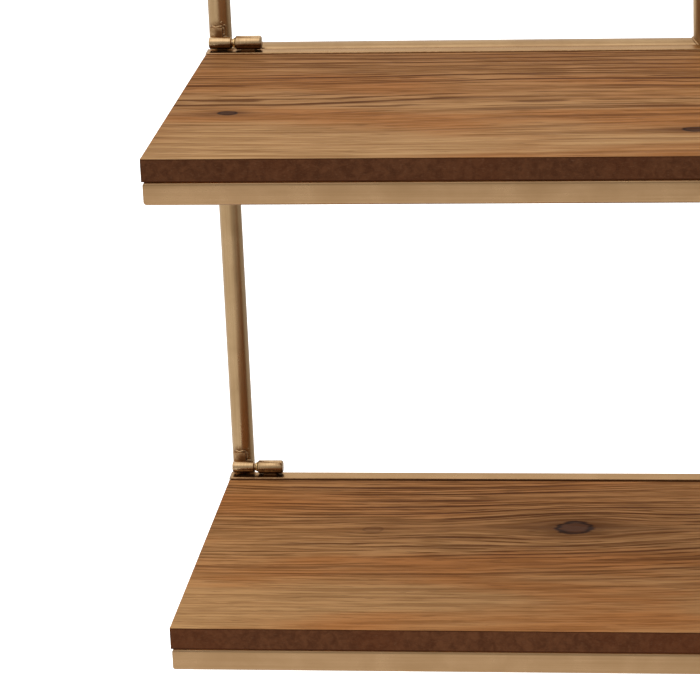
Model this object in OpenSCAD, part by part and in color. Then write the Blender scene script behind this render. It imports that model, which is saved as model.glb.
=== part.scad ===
// Folding wall shelf: a welded round-tube wall frame carries two timber-faced boards,
// each on a square-tube tray that folds up on a pair of weld-on barrel hinges.
// Origin: centre of the four wall screws, on the wall plane. +X right, +Y into the wall, +Z up.

/* [Wall frame] */
// Centre-to-centre distance of the two uprights
upright_span = 596.6; // [560:0.2:640]
// Outer diameter of every round frame tube
tube_d = 14; // [12:0.5:16]
// Wall thickness of the round tubes
tube_wall = 1.5; // [1:0.1:2]
// Centre-to-centre height of the top and bottom rails
rail_span = 632; // [620:1:700]
// Stand-off of the tubes from the wall, set by the rubber bumpers
bumper_t = 2.5; // [2.5:0.5:4]

/* [Wall screws] */
// Side-to-side distance of the wall screws
screw_span_x = 406.4; // [300:0.1:420]
// Diameter of the wall screw holes
screw_hole_d = 5.5; // [4:0.1:6.5]
// Width of a hanger tab
tab_w = 20; // [16:1:26]
// Thickness of a hanger tab
tab_t = 2.5; // [2:0.1:2.5]

/* [Boards] */
// Width of a board
board_w = 609.6; // [600:0.2:640]
// Depth of a board
board_d = 231.5; // [200:0.5:231.5]
// Full thickness of a board, faces included
board_t = 13; // [10:0.1:14]
// Thickness of the timber face on each side of the core
veneer_t = 0.6; // [0.4:0.1:1]
// Height of the lower board's top face
lower_top_z = -256; // [-260:1:-250]
// Height from the lower board's top face to the upper one's
tier_pitch = 280; // [278:1:290]

/* [Trays] */
// Side of the square tray tube
rail_s = 14; // [12:0.1:14.5]
// Wall thickness of the tray tube
rail_wall = 1.5; // [1:0.1:2]
// Outer corner radius of the tray tube
rail_r = 2.5; // [1.7:0.1:3]
// Distance of the tray's sides in from the board's ends
rail_inset = 0.5; // [0.5:0.1:3]
// Depth of the back rail
back_rail_d = 12; // [11:0.5:12]
// Corner radius of the back rail
back_rail_r = 0.8; // [0.5:0.1:1.2]
// Height of the back rail's top above the board's top face
back_rail_rise = 0.3; // [0:0.1:0.3]
// Gap between a board and its back rail
back_gap = 3; // [0.5:0.1:3]
// Gap between a resting back rail and the uprights
stop_gap = 0.4; // [0.4:0.1:0.6]

/* [Hinges] */
// Diameter of the barrel half that is welded to the upright
frame_barrel_d = 7.6; // [7.4:0.1:8.2]
// Diameter of the barrel half that is welded to the tray
tray_barrel_d = 8.6; // [8:0.1:8.6]
// Height of the hinge axis above a board's top face
axis_rise = 4.8; // [4.8:0.1:5.5]
// Length of the barrel half that is welded to the upright
frame_barrel_l = 14.2; // [13:0.1:16]
// Length of the barrel half that is welded to the tray
tray_barrel_l = 16.6; // [15:0.1:18]
// Diameter of a hinge pin
pin_d = 4; // [3.5:0.1:4.5]
// Radial clearance of a pin in the turning half
pin_clear = 0.06; // [0.03:0.01:0.1]

/* [Hidden] */
$fn = 48;
tube_r = tube_d / 2;
post_x = upright_span / 2;
post_y = -bumper_t - tube_r;
face_y = post_y - tube_r;
frame_h = rail_span + tube_d;
rail_z = rail_span / 2;
screw_z = rail_z - 16;
upper_top_z = lower_top_z + tier_pitch;
middle_z = upper_top_z - 4.7;
back_y = face_y - stop_gap;
board_back_y = back_y - back_rail_d - back_gap;
front_y = board_back_y - board_d;
tray_x = board_w / 2 - rail_inset;
tray_front_y = front_y + 0.6;
back_rail_front_y = back_y - back_rail_d;
back_rail_h = board_t + rail_s + back_rail_rise;
axis_y = face_y - frame_barrel_d / 2;
barrel_x0 = post_x + 5.7;
neck_l = 1.2;
joint_x = barrel_x0 - frame_barrel_l - neck_l;
washer_t = 0.7;
tray_barrel_x = joint_x - washer_t - 0.1;
bore_r = pin_d / 2 + pin_clear;
screw_r = 2;
screw_spots = [for (side = [-1, 1], y = [front_y + 60, board_back_y - 50])
    [side * (tray_x - rail_s / 2), y]];
cope = 0.03;
gold = [0.76, 0.60, 0.42];
oak = [0.62, 0.44, 0.28];
dark_edge = [0.30, 0.18, 0.12];
black = [0.10, 0.10, 0.10];
steel = [0.62, 0.62, 0.62];
brass = [0.80, 0.66, 0.38];

// Round tube along +Z, open at both ends.
module round_tube(length) {
    difference() {
        cylinder(r = tube_r, h = length);
        translate([0, 0, -1]) cylinder(r = tube_r - tube_wall, h = length + 2);
    }
}

// One upright, at the given side: -1 left, 1 right.
module upright(side) {
    color(gold)
        translate([side * post_x, post_y, -frame_h / 2])
            round_tube(frame_h);
}

// A horizontal frame tube with its ends coped to fit round the uprights.
module cross_rail(z) {
    color(gold)
        difference() {
            translate([-post_x, post_y, z]) rotate([0, 90, 0]) round_tube(upright_span);
            for (side = [-1, 1])
                translate([side * post_x, post_y, z - tube_d])
                    cylinder(r = tube_r + cope, h = 2 * tube_d);
        }
}

// The short post between the middle and top rails, coped at both ends.
module centre_post() {
    color(gold)
        difference() {
            translate([0, post_y, middle_z]) round_tube(rail_z - middle_z);
            for (z = [middle_z, rail_z])
                translate([-tube_d, post_y, z]) rotate([0, 90, 0])
                    cylinder(r = tube_r + cope, h = 2 * tube_d);
        }
}

// A flat tab welded behind a rail, with the hole for one wall screw. up: 1 top, -1 bottom.
module hanger_tab(side, up) {
    hole_x = side * screw_span_x / 2;
    color(gold)
        difference() {
            union() {
                translate([hole_x - tab_w / 2, -tab_t, up > 0 ? screw_z : -rail_z - 4])
                    cube([tab_w, tab_t, 20]);
                translate([hole_x, 0, up * screw_z]) rotate([90, 0, 0])
                    cylinder(r = tab_w / 2, h = tab_t);
            }
            translate([hole_x, 1, up * screw_z]) rotate([90, 0, 0])
                cylinder(d = screw_hole_d, h = tab_t + 2);
        }
}

// Domed push-in plugs in the four ends of the uprights.
module upright_plugs() {
    plug_r = tube_r - tube_wall - 0.05;
    color(gold)
        for (side = [-1, 1], up = [-1, 1])
            translate([side * post_x, post_y, up * frame_h / 2])
                rotate([up > 0 ? 0 : 180, 0, 0]) {
                    translate([0, 0, -8]) cylinder(r = plug_r, h = 8.02);
                    translate([0, 0, 0.02]) cylinder(r1 = tube_r, r2 = tube_r - 0.8, h = 1.6);
                }
}

// Rubber pads that keep the uprights off the wall.
module wall_bumpers() {
    color(black)
        difference() {
            for (side = [-1, 1], z = [-rail_z + 34, rail_z - 34])
                translate([side * post_x, 0, z]) rotate([90, 0, 0])
                    cylinder(r = 4, h = bumper_t + 1);
            for (side = [-1, 1])
                translate([side * post_x, post_y, -frame_h / 2])
                    cylinder(r = tube_r + cope, h = frame_h);
        }
}

// The barrel half welded across the front of an upright; the pin is pressed into it.
module frame_barrel(side, top_z) {
    barrel_r = frame_barrel_d / 2;
    color(gold)
        translate([side * barrel_x0, axis_y, top_z + axis_rise])
            rotate([0, -90 * side, 0])
                difference() {
                    union() {
                        cylinder(r1 = barrel_r - 0.6, r2 = barrel_r, h = 0.6);
                        translate([0, 0, 0.6]) cylinder(r = barrel_r, h = frame_barrel_l - 1.2);
                        translate([0, 0, frame_barrel_l - 0.6])
                            cylinder(r1 = barrel_r, r2 = barrel_r - 0.6, h = 0.6);
                        translate([0, 0, frame_barrel_l])
                            cylinder(r = barrel_r - 1, h = neck_l);
                    }
                    translate([0, 0, 3]) cylinder(d = pin_d, h = frame_barrel_l);
                }
}

// The barrel half welded to the tray, rounded at its closed end, running on the pin.
module tray_barrel(side, top_z) {
    body_l = tray_barrel_l - 1.6;
    barrel_r = tray_barrel_d / 2;
    color(gold)
        translate([side * tray_barrel_x, axis_y, top_z + axis_rise])
            rotate([0, -90 * side, 0])
                difference() {
                    union() {
                        cylinder(r1 = barrel_r - 0.5, r2 = barrel_r, h = 0.5);
                        translate([0, 0, 0.5]) cylinder(r = barrel_r, h = body_l - 0.5);
                        translate([0, 0, body_l]) rotate_extrude()
                            intersection() {
                                translate([barrel_r - 1.6, 0]) circle(r = 1.6);
                                square([2 * barrel_r, 1.6]);
                            }
                        translate([0, 0, body_l]) cylinder(r = barrel_r - 1.6, h = 1.6);
                    }
                    translate([0, 0, -1]) cylinder(r = bore_r, h = tray_barrel_l - 1.8);
                }
}

// The steel pin of one hinge, from inside one barrel half to inside the other.
module hinge_pin(side, top_z) {
    color(steel)
        translate([side * (barrel_x0 - 3.05), axis_y, top_z + axis_rise])
            rotate([0, -90 * side, 0])
                cylinder(d = pin_d, h = frame_barrel_l + neck_l + tray_barrel_l - 5.8);
}

// The thin bearing washers between the two halves of a shelf's hinges.
module hinge_washers(top_z) {
    color(brass)
        for (side = [-1, 1])
            translate([side * joint_x, axis_y, top_z + axis_rise])
                rotate([0, -90 * side, 0])
                    difference() {
                        cylinder(r = frame_barrel_d / 2 - 0.7, h = washer_t);
                        translate([0, 0, -1]) cylinder(r = bore_r, h = washer_t + 2);
                    }
}

// The small blocks that brace the frame barrels against the uprights from above.
module hinge_gussets(top_z) {
    color(gold)
        difference() {
            for (side = [-1, 1])
                translate([side * (post_x + 1.2) - 3.8, face_y - 2.6, top_z + axis_rise])
                    cube([7.6, 6, frame_barrel_d / 2 + 5.2]);
            for (side = [-1, 1]) {
                translate([side * post_x, post_y, top_z - 20])
                    cylinder(r = tube_r + cope, h = 60);
                translate([side * (post_x + 20), axis_y, top_z + axis_rise])
                    rotate([0, -90 * side, 0])
                        cylinder(r = frame_barrel_d / 2 + cope, h = 40);
            }
        }
}

// Outline of a bar with rounded corners, its lower left corner at the origin.
module rounded_outline(w, h, r) {
    translate([r, 0]) square([w - 2 * r, h]);
    translate([0, r]) square([w, h - 2 * r]);
    for (x = [r, w - r], y = [r, h - r])
        translate([x, y]) circle(r = r);
}

// Hollow section of a tray tube, w along the depth and h tall, with corner radius r.
module tube_outline(w, h, r) {
    difference() {
        rounded_outline(w, h, r);
        translate([rail_wall, rail_wall])
            square([w - 2 * rail_wall, h - 2 * rail_wall]);
    }
}

// Clearance holes for the board screws through the side rails.
module screw_clearance(top_z) {
    for (p = screw_spots)
        translate([p[0], p[1], top_z - board_t - rail_s - 1])
            cylinder(r = 2.3, h = rail_s + 2);
}

// Front rail of a tray, mitred at both ends to meet the side rails.
module front_rail(top_z) {
    base_z = top_z - board_t - rail_s;
    inner_x = tray_x - rail_s;
    color(gold)
        intersection() {
            translate([-tray_x, tray_front_y, base_z])
                rotate([90, 0, 90])
                    linear_extrude(height = 2 * tray_x)
                        tube_outline(rail_s, rail_s, rail_r);
            translate([0, tray_front_y - cope, base_z - 1])
                linear_extrude(height = rail_s + 2)
                    polygon([[-tray_x, 0], [tray_x, 0], [inner_x, rail_s], [-inner_x, rail_s]]);
        }
}

// Side rail of a tray, mitred in front and butted against the back rail.
module side_rail(side, top_z) {
    base_z = top_z - board_t - rail_s;
    length = back_rail_front_y - tray_front_y;
    color(gold)
        difference() {
            intersection() {
                translate([side * (tray_x - rail_s / 2) - rail_s / 2, tray_front_y + length, base_z])
                    rotate([90, 0, 0])
                        linear_extrude(height = length)
                            tube_outline(rail_s, rail_s, rail_r);
                translate([0, tray_front_y, base_z - 1])
                    linear_extrude(height = rail_s + 2)
                        polygon([
                            [side * tray_x, 0],
                            [side * (tray_x - rail_s), rail_s],
                            [side * (tray_x - rail_s), length],
                            [side * tray_x, length]
                        ]);
            }
            screw_clearance(top_z);
        }
}

// Tall back rail of a tray; its rear face rests against the uprights when the shelf is down.
module back_rail(top_z) {
    color(gold)
        translate([-tray_x, back_rail_front_y, top_z + back_rail_rise - back_rail_h])
            rotate([90, 0, 90])
                linear_extrude(height = 2 * tray_x)
                    tube_outline(back_rail_d, back_rail_h, back_rail_r);
}

// Push-in plugs that close the two ends of a back rail.
module rail_plugs(top_z) {
    inner_d = back_rail_d - 2 * rail_wall - 0.1;
    inner_h = back_rail_h - 2 * rail_wall - 0.1;
    color(gold)
        for (side = [-1, 1])
            translate([side * tray_x, back_rail_front_y, top_z + back_rail_rise - back_rail_h])
                mirror([side > 0 ? 1 : 0, 0, 0]) {
                    translate([0.02, rail_wall + 0.05, rail_wall + 0.05])
                        cube([8, inner_d, inner_h]);
                    translate([-1, 0, 0])
                        rotate([90, 0, 90])
                            linear_extrude(height = 0.98)
                                rounded_outline(back_rail_d, back_rail_h, back_rail_r);
                    translate([-0.1, rail_wall + 0.05, rail_wall + 0.05])
                        cube([1, inner_d, inner_h]);
                }
}

// Pilot holes for the board screws.
module screw_pilots(top_z) {
    for (p = screw_spots)
        translate([p[0], p[1], top_z - board_t - 1])
            cylinder(r = screw_r + cope, h = 9.5);
}

// Dense fibreboard core of a board, with a bare stained edge.
module board_core(top_z) {
    color(dark_edge)
        difference() {
            translate([-board_w / 2, front_y, top_z - board_t + veneer_t])
                cube([board_w, board_d, board_t - 2 * veneer_t]);
            screw_pilots(top_z);
        }
}

// Timber face on top of a board.
module top_face(top_z) {
    color(oak)
        translate([-board_w / 2, front_y, top_z - veneer_t])
            cube([board_w, board_d, veneer_t]);
}

// Timber face under a board, pierced by the screws.
module bottom_face(top_z) {
    color(oak)
        difference() {
            translate([-board_w / 2, front_y, top_z - board_t])
                cube([board_w, board_d, veneer_t]);
            screw_pilots(top_z);
        }
}

// Round-headed screws driven up through the side rails into the core.
module board_screws(top_z) {
    color(steel)
        for (p = screw_spots)
            translate([p[0], p[1], top_z - board_t - rail_s]) {
                translate([0, 0, -0.02]) cylinder(r = screw_r, h = rail_s + 8);
                difference() {
                    translate([0, 0, -2.2]) cylinder(r1 = 2.8, r2 = 3.9, h = 2.18);
                    for (a = [0, 90])
                        rotate([0, 0, a])
                            translate([-2, -0.45, -3]) cube([4, 0.9, 2]);
                }
            }
}

// Blocks that join a shelf's barrels to the top of its back rail.
module barrel_legs(top_z) {
    foot_z = top_z + back_rail_rise + cope;
    color(gold)
        difference() {
            for (side = [-1, 1])
                translate([side * (tray_barrel_x - tray_barrel_l / 2) - 4.2, axis_y - 3, foot_z])
                    cube([8.4, 6, axis_rise - 1.9]);
            translate([-tray_x, axis_y, top_z + axis_rise])
                rotate([0, 90, 0])
                    cylinder(r = tray_barrel_d / 2 + cope, h = 2 * tray_x);
        }
}

upright(-1);  // left_upright
upright(1);  // right_upright
cross_rail(rail_z);  // top_rail
cross_rail(middle_z);  // middle_rail
cross_rail(-rail_z);  // bottom_rail
centre_post();
hanger_tab(-1, 1);  // hanger_tab_top_left
hanger_tab(1, 1);  // hanger_tab_top_right
hanger_tab(-1, -1);  // hanger_tab_bottom_left
hanger_tab(1, -1);  // hanger_tab_bottom_right
upright_plugs();
wall_bumpers();
frame_barrel(-1, upper_top_z);  // upper_left_frame_barrel
frame_barrel(1, upper_top_z);  // upper_right_frame_barrel
frame_barrel(-1, lower_top_z);  // lower_left_frame_barrel
frame_barrel(1, lower_top_z);  // lower_right_frame_barrel
hinge_gussets(upper_top_z);  // upper_hinge_gussets
hinge_gussets(lower_top_z);  // lower_hinge_gussets
hinge_pin(-1, upper_top_z);  // upper_left_hinge_pin
hinge_pin(1, upper_top_z);  // upper_right_hinge_pin
hinge_pin(-1, lower_top_z);  // lower_left_hinge_pin
hinge_pin(1, lower_top_z);  // lower_right_hinge_pin
hinge_washers(upper_top_z);  // upper_hinge_washers
hinge_washers(lower_top_z);  // lower_hinge_washers
board_core(upper_top_z);  // upper_board_core
top_face(upper_top_z);  // upper_top_face
bottom_face(upper_top_z);  // upper_bottom_face
front_rail(upper_top_z);  // upper_front_rail
side_rail(-1, upper_top_z);  // upper_left_rail
side_rail(1, upper_top_z);  // upper_right_rail
back_rail(upper_top_z);  // upper_back_rail
rail_plugs(upper_top_z);  // upper_rail_plugs
board_screws(upper_top_z);  // upper_board_screws
tray_barrel(-1, upper_top_z);  // upper_left_tray_barrel
tray_barrel(1, upper_top_z);  // upper_right_tray_barrel
barrel_legs(upper_top_z);  // upper_barrel_legs
board_core(lower_top_z);  // lower_board_core
top_face(lower_top_z);  // lower_top_face
bottom_face(lower_top_z);  // lower_bottom_face
front_rail(lower_top_z);  // lower_front_rail
side_rail(-1, lower_top_z);  // lower_left_rail
side_rail(1, lower_top_z);  // lower_right_rail
back_rail(lower_top_z);  // lower_back_rail
rail_plugs(lower_top_z);  // lower_rail_plugs
board_screws(lower_top_z);  // lower_board_screws
tray_barrel(-1, lower_top_z);  // lower_left_tray_barrel
tray_barrel(1, lower_top_z);  // lower_right_tray_barrel
barrel_legs(lower_top_z);  // lower_barrel_legs
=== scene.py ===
import math
import random

import bmesh
import bpy
from mathutils import Matrix, Vector, noise


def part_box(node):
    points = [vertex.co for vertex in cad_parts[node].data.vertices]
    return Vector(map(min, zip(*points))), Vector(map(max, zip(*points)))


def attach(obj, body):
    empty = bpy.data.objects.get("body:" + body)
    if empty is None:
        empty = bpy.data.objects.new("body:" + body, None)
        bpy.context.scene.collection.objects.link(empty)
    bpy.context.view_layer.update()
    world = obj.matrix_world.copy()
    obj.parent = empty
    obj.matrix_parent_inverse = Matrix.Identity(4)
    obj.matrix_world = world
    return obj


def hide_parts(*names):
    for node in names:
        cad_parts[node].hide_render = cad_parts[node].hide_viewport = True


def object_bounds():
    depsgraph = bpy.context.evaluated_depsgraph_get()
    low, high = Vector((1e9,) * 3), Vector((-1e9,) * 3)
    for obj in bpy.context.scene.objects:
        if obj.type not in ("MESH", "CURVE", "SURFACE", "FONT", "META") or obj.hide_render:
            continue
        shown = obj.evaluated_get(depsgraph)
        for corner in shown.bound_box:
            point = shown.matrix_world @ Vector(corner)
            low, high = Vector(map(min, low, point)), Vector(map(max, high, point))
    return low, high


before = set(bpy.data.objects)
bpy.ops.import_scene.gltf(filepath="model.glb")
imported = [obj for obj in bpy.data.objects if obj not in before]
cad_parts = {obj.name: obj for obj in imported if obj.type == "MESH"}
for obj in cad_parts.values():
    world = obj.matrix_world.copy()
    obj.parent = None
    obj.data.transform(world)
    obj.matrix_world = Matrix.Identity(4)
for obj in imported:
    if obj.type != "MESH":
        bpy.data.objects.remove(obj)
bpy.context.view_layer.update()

# ---------------------------------------------------------------------------
# Uprights
# Two straight round steel tubes that carry everything else. They are cut to length, their cut
# ends are broken with a small chamfer, and the whole welded frame is coated in satin gold.
# ---------------------------------------------------------------------------


class Bench:
    """Places nodes in one shader tree, left to right, and wires them as they are placed."""

    def __init__(self, tree):
        self.tree = tree
        self.placed = 0

    def put(self, kind, wires=None, **settings):
        node = self.tree.nodes.new(kind)
        node.location = (220 * (self.placed % 12), -260 * (self.placed // 12))
        self.placed += 1
        for name, value in settings.items():
            setattr(node, name, value)
        for socket, value in (wires or {}).items():
            if isinstance(value, bpy.types.NodeSocket):
                self.tree.links.new(value, node.inputs[socket])
            else:
                node.inputs[socket].default_value = value
        return node

    def maths(self, operation, first, second=0.0, third=0.0):
        node = self.put("ShaderNodeMath", {0: first, 1: second, 2: third}, operation=operation)
        return node.outputs[0]

    def spread(self, value, low, high, to_low=0.0, to_high=1.0):
        wires = {"Value": value, "From Min": low, "From Max": high}
        wires.update({"To Min": to_low, "To Max": to_high})
        node = self.put("ShaderNodeMapRange", wires, interpolation_type="SMOOTHSTEP")
        return node.outputs["Result"]

    def clouds(self, vector, scale, detail=3.0, rough=0.5, warp=0.0):
        wires = {"Vector": vector, "Scale": scale, "Detail": detail}
        wires.update({"Roughness": rough, "Distortion": warp})
        return self.put("ShaderNodeTexNoise", wires).outputs["Fac"]

    def stretched(self, vector, scale, shift=(0.0, 0.0, 0.0)):
        wires = {"Vector": vector, "Scale": scale, "Location": shift}
        return self.put("ShaderNodeMapping", wires).outputs["Vector"]

    def vector(self, operation, first, second=(0.0, 0.0, 0.0)):
        node = self.put("ShaderNodeVectorMath", {0: first, 1: second}, operation=operation)
        measured = operation in ("DISTANCE", "LENGTH", "DOT_PRODUCT")
        return node.outputs["Value" if measured else "Vector"]

    def axis(self, vector, letter):
        return self.put("ShaderNodeSeparateXYZ", {0: vector}).outputs[letter]

    def relief(self, height, strength, distance):
        wires = {"Height": height, "Strength": strength, "Distance": distance}
        return self.put("ShaderNodeBump", wires).outputs["Normal"]

    def shade(self, sockets):
        shader = self.put("ShaderNodeBsdfPrincipled", sockets)
        self.put("ShaderNodeOutputMaterial", {"Surface": shader.outputs[0]})

    def blend(self, mask, first, second):
        node = self.put("ShaderNodeMix", data_type="RGBA")
        for socket, value in ((0, mask), (6, first), (7, second)):
            if isinstance(value, bpy.types.NodeSocket):
                self.tree.links.new(value, node.inputs[socket])
            elif socket == 0:
                node.inputs[socket].default_value = value
            else:
                node.inputs[socket].default_value = (*value, 1.0)
        return node.outputs[2]


def shared_effect(name, inputs, outputs):
    """An empty node group with named sockets; returns the tree, its bench and both ends."""
    tree = bpy.data.node_groups.new(name, "ShaderNodeTree")
    for socket, kind, value in inputs:
        made = tree.interface.new_socket(socket, in_out="INPUT", socket_type="NodeSocket" + kind)
        made.default_value = value
    for socket, kind in outputs:
        tree.interface.new_socket(socket, in_out="OUTPUT", socket_type="NodeSocket" + kind)
    bench = Bench(tree)
    start = bench.put("NodeGroupInput")
    end = tree.nodes.new("NodeGroupOutput")
    end.location = (2600, 0)
    return tree, bench, start, end


def drawn_coat_effect():
    """Coated drawn tube: long draw lines, soft mottle, fine grain of the coat and a few scuffs."""
    tree, bench, start, end = shared_effect(
        "drawn_coat",
        [("Coordinate", "Vector", (0, 0, 0)), ("Line Stretch", "Vector", (1, 1, 1))],
        [("Tone", "Float"), ("Scuff", "Float"), ("Height", "Float")],
    )
    place = start.outputs["Coordinate"]
    along = bench.vector("MULTIPLY", place, start.outputs["Line Stretch"])
    lines = bench.clouds(along, 900.0, 4.0, 0.6)
    mottle = bench.clouds(place, 38.0, 4.0, 0.55, 0.4)
    peel = bench.clouds(place, 1500.0, 2.0, 0.5)
    patches = bench.clouds(place, 160.0, 5.0, 0.7, 1.2)
    scuff = bench.spread(patches, 0.63, 0.74)
    tone = bench.maths("MULTIPLY_ADD", lines, 0.45, 0.0)
    tone = bench.maths("MULTIPLY_ADD", mottle, 0.55, tone)
    height = bench.maths("MULTIPLY_ADD", lines, 0.6, 0.0)
    height = bench.maths("MULTIPLY_ADD", peel, 0.4, height)
    tree.links.new(bench.spread(tone, 0.3, 0.7), end.inputs["Tone"])
    tree.links.new(scuff, end.inputs["Scuff"])
    tree.links.new(height, end.inputs["Height"])
    return tree


def heat_tint_effect():
    """A soft-edged stain round a point, broken up by noise, as weld heat leaves on a coat."""
    tree, bench, start, end = shared_effect(
        "heat_tint",
        [
            ("Coordinate", "Vector", (0, 0, 0)),
            ("Centre", "Vector", (0, 0, 0)),
            ("Radius", "Float", 0.01),
        ],
        [("Mask", "Float")],
    )
    away = bench.vector("DISTANCE", start.outputs["Coordinate"], start.outputs["Centre"])
    away = bench.maths("DIVIDE", away, start.outputs["Radius"])
    rough_edge = bench.clouds(start.outputs["Coordinate"], 420.0, 4.0, 0.65, 0.6)
    away = bench.maths("MULTIPLY_ADD", rough_edge, 0.9, away)
    tree.links.new(bench.spread(away, 0.75, 1.55, 1.0, 0.0), end.inputs["Mask"])
    return tree


drawn_coat = drawn_coat_effect()
heat_tint = heat_tint_effect()


def blank_material(name):
    """An empty material; returns it with its bench and the place on the object."""
    material = bpy.data.materials.new(name)
    material.use_nodes = True
    material.node_tree.nodes.clear()
    bench = Bench(material.node_tree)
    return material, bench, bench.put("ShaderNodeTexCoord").outputs["Object"]


def gold_finish(
    name,
    light,
    deep,
    line_stretch,
    roughness,
    relief,
    stains=(),
    stain_radius=0.0075,
    painted_shade_band=None,
    edge_tint=(1.0, 1.0, 1.0),
):
    """Satin gold coat: two golds mixed along the draw lines, darker where weld heat reached it.

    An axis letter and two places along it give where a painted dark-brown shade is full and where it
    ends.
    """
    material, bench, place = blank_material(name)
    coat = bench.put(
        "ShaderNodeGroup",
        {"Coordinate": place, "Line Stretch": line_stretch},
        node_tree=drawn_coat,
    )
    colour = bench.blend(coat.outputs["Tone"], deep, light)
    rough = bench.spread(coat.outputs["Tone"], 0.0, 1.0, roughness + 0.05, roughness - 0.04)
    for centre in stains:
        tint = bench.put(
            "ShaderNodeGroup",
            {"Coordinate": place, "Centre": centre, "Radius": stain_radius},
            node_tree=heat_tint,
        )
        colour = bench.blend(tint.outputs["Mask"], colour, (0.17, 0.075, 0.026))
        rough = bench.maths("MULTIPLY_ADD", tint.outputs["Mask"], 0.12, rough)
    # Painted shade: a dark-brown band along one axis where shade falls, such as barrel undersides and
    # the gap behind a board.
    if painted_shade_band is not None:
        axis, full_at, none_at = painted_shade_band
        ragged = bench.maths("SUBTRACT", bench.clouds(place, 420.0, 3.0, 0.6), 0.5)
        uneven = 1.4 * (none_at - full_at)
        ragged = bench.maths("MULTIPLY_ADD", ragged, uneven, bench.axis(place, axis))
        under = bench.spread(ragged, full_at, none_at, 0.94, 0.0)
        colour = bench.blend(under, colour, (0.062, 0.018, 0.004))
        rough = bench.maths("MULTIPLY_ADD", under, 0.16, rough)
    rough = bench.maths("MULTIPLY_ADD", coat.outputs["Scuff"], 0.10, rough)
    bench.shade(
        {
            "Base Color": colour,
            "Roughness": rough,
            "Metallic": 1.0,
            "Specular Tint": (*edge_tint, 1.0),
            "Normal": bench.relief(coat.outputs["Height"], relief, 0.0002),
        }
    )
    return material


def new_piece(name, points, faces, body, material, crease=38.0):
    """A mesh piece in the shared frame: smooth, creased at sharp angles, riding on a body."""
    mesh = bpy.data.meshes.new(name)
    mesh.from_pydata([tuple(p) for p in points], [], faces)
    clean = bmesh.new()
    clean.from_mesh(mesh)
    bmesh.ops.remove_doubles(clean, verts=clean.verts, dist=1e-6)
    bmesh.ops.recalc_face_normals(clean, faces=clean.faces)
    clean.to_mesh(mesh)
    clean.free()
    mesh.polygons.foreach_set("use_smooth", [True] * len(mesh.polygons))
    mesh.set_sharp_from_angle(angle=math.radians(crease))
    piece = bpy.data.objects.new(name, mesh)
    bpy.context.scene.collection.objects.link(piece)
    mesh.materials.append(material)
    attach(piece, body)
    return piece


def bridge(ring_count, sides, closed):
    """Quads between rings of equally many points, numbered ring by ring."""
    faces = []
    for ring in range(ring_count if closed else ring_count - 1):
        low, high = ring * sides, ((ring + 1) % ring_count) * sides
        for i in range(sides):
            j = (i + 1) % sides
            faces.append((low + i, low + j, high + j, high + i))
    return faces


def hollow_tube(axis, middle, start, end, outer_r, inner_r, lip=0.0004, sides=72):
    """Points and faces of a tube along X or Z; start and end give its ends at each offset in Y."""
    rings = [
        (outer_r - lip, start, 0.0),
        (outer_r, start, lip),
        (outer_r, end, -lip),
        (outer_r - lip, end, 0.0),
        (inner_r + lip / 2, end, 0.0),
        (inner_r, end, -lip / 2),
        (inner_r, start, lip / 2),
        (inner_r + lip / 2, start, 0.0),
    ]
    points = []
    for radius, edge, inset in rings:
        for i in range(sides):
            turn = 2 * math.pi * i / sides
            off_y = radius * math.cos(turn)
            across = radius * math.sin(turn)
            along = edge(off_y) + inset
            if axis == "Z":
                points.append((middle[0] + across, middle[1] + off_y, along))
            else:
                points.append((along, middle[1] + off_y, middle[2] + across))
    return points, bridge(len(rings), sides, True)


tube_wall = 0.0015
upright_coat = {
    "light": (0.47, 0.315, 0.168),
    "deep": (0.38, 0.245, 0.122),
    "line_stretch": (1.0, 1.0, 0.02),
    "roughness": 0.31,
    "relief": 0.10,
}
hinge_heights = []
for tier in ("upper", "lower"):
    hinge_heights.append(sum(corner.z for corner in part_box(f"{tier}_left_hinge_pin")) / 2)
for side in ("left", "right"):
    low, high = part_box(f"{side}_upright")
    tube_r = (high.x - low.x) / 2
    centre = (low + high) / 2
    outward = -1 if side == "left" else 1
    stains = [(centre.x + outward * 0.001, low.y, z + 0.006) for z in hinge_heights]
    upright_gold = gold_finish(f"{side}_upright_gold", stains=stains, **upright_coat)
    points, faces = hollow_tube(
        "Z", centre, lambda y: low.z, lambda y: high.z, tube_r, tube_r - tube_wall
    )
    tube = new_piece(f"{side}_upright_tube", points, faces, "wall_frame", upright_gold)
    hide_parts(f"{side}_upright")

# ---------------------------------------------------------------------------
# Cross rails and centre post
# Round tubes between the uprights, their ends sawn to a saddle so that they sit round the
# upright's wall. The short post stands on the middle rail and runs up to the top rail.
# ---------------------------------------------------------------------------
post_r = tube_r
rail_gold = gold_finish(
    "cross_rail_gold",
    light=(0.385, 0.250, 0.130),
    deep=(0.310, 0.190, 0.095),
    line_stretch=(0.02, 1.0, 1.0),
    roughness=0.33,
    relief=0.10,
)
left_x = sum(c.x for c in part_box("left_upright")) / 2
right_x = sum(c.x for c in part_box("right_upright")) / 2
for height in ("top", "middle", "bottom"):
    low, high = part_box(f"{height}_rail")
    points, faces = hollow_tube(
        "X",
        (low + high) / 2,
        lambda y: left_x + math.sqrt(max(post_r**2 - y**2, 0.0)),
        lambda y: right_x - math.sqrt(max(post_r**2 - y**2, 0.0)),
        post_r,
        post_r - tube_wall,
        lip=0.0,
    )
    rail = new_piece(f"{height}_rail_tube", points, faces, "wall_frame", rail_gold)
    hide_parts(f"{height}_rail")

post_gold = gold_finish("centre_post_gold", **upright_coat)
middle_z = sum(c.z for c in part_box("middle_rail")) / 2
top_z = sum(c.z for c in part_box("top_rail")) / 2
low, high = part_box("centre_post")
points, faces = hollow_tube(
    "Z",
    (low + high) / 2,
    lambda y: middle_z + math.sqrt(max(post_r**2 - y**2, 0.0)),
    lambda y: top_z - math.sqrt(max(post_r**2 - y**2, 0.0)),
    post_r,
    post_r - tube_wall,
    lip=0.0,
)
post = new_piece("centre_post_tube", points, faces, "wall_frame", post_gold)
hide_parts("centre_post")

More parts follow.
